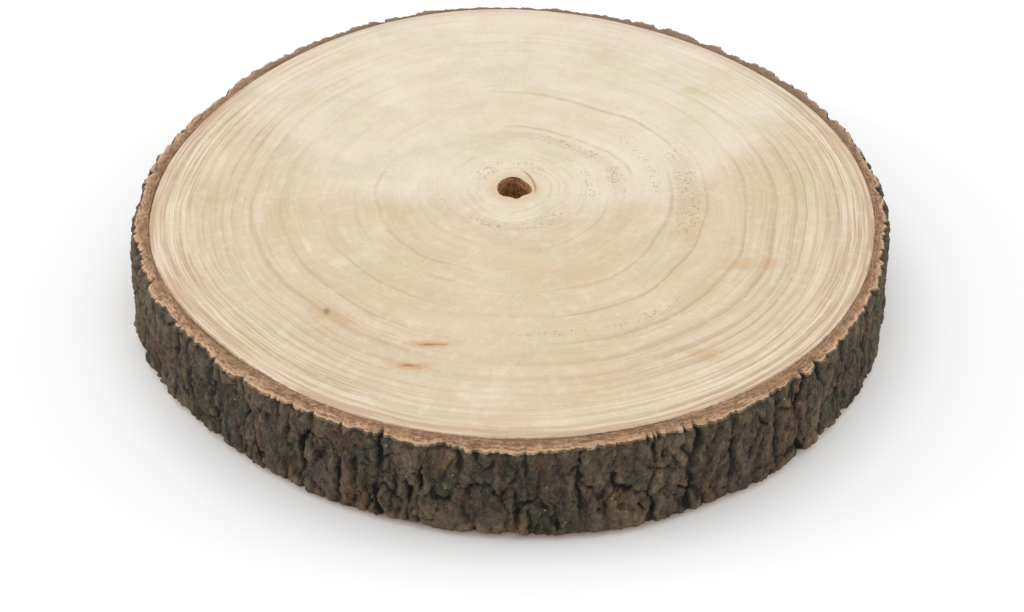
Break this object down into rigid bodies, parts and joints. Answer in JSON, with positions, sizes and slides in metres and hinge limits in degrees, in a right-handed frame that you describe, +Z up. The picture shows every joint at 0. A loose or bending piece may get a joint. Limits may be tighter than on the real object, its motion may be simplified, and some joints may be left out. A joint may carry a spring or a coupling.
{
  "type": "wood slice",
  "caption": "Round slice sawn across a tree trunk, with growth rings, an off-centre hollow pith and its bark left on, used as a natural base, board or centrepiece.",
  "frame": {"origin": "middle of the outline's box, on the bottom cut face, so on the surface that the slice lies on", "axes": "+Z up out of the top cut face; +Y along the outline's longest width, which is the way from the viewer's side to the far side; +X to the right"},
  "size_m": [0.3004, 0.314, 0.04],
  "materials": {
    "sawn_wood": "pale cream sawn end grain left bare, with a rough dark grey-brown bark all round"
  },
  "bodies": {
    "root": {"wood_slice": "sawn_wood"}
  },
  "joints": []
}
